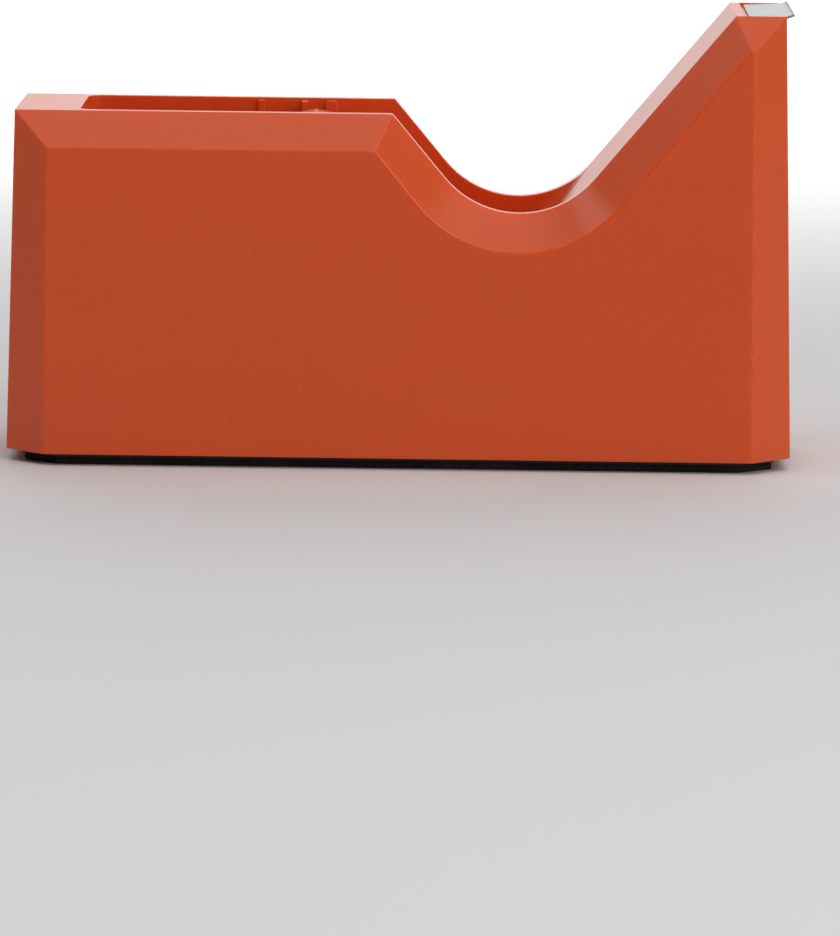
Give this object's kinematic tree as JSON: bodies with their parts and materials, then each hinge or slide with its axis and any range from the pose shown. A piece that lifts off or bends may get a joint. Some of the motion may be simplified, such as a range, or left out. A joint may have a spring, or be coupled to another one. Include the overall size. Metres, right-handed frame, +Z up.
{
  "type": "desk tape dispenser",
  "caption": "Weighted desk tape dispenser: bevelled housing with a tape well, a saddle dip, a raised nose with a toothed cutter and a lift-out hub that turns freely.",
  "frame": {"origin": "middle of the footprint, on the surface that the dispenser stands on", "axes": "+X along the length towards the cutter, +Y across, +Z up"},
  "size_m": [0.16, 0.054, 0.0931],
  "materials": {
    "housing_plastic": "satin moulded ABS, orange",
    "hub_plastic": "satin moulded ABS, orange",
    "blade_steel": "bright stamped steel",
    "axle_steel": "drawn steel rod",
    "plate_plastic": "matt black",
    "screw_steel": "zinc plated",
    "pad_foam": "closed-cell non-skid foam, black",
    "weight_steel": "raw steel bar, lightly scaled",
    "weight_cement": "cast cement"
  },
  "bodies": {
    "dispenser": {"housing": "housing_plastic", "cutter_blade": "blade_steel", "bottom_plate": "plate_plastic", "bottom_plate_screws": "screw_steel", "non_skid_pad": "pad_foam", "steel_weight": "weight_steel", "cast_weight": "weight_cement"},
    "axle": {"hub_axle": "axle_steel"},
    "hub": {"hub_half_front": "hub_plastic", "hub_half_rear": "hub_plastic"}
  },
  "joints": [
    {"name": "hub_lift", "type": "slide", "parent": "dispenser", "child": "axle", "axis": [0, 0, 1], "range_m": [0, 0.055]},
    {"name": "hub_spin", "type": "hinge", "parent": "axle", "child": "hub", "pos_m": [-0.0181, 0, 0.0575], "axis": [0, 1, 0], "continuous": true}
  ]
}
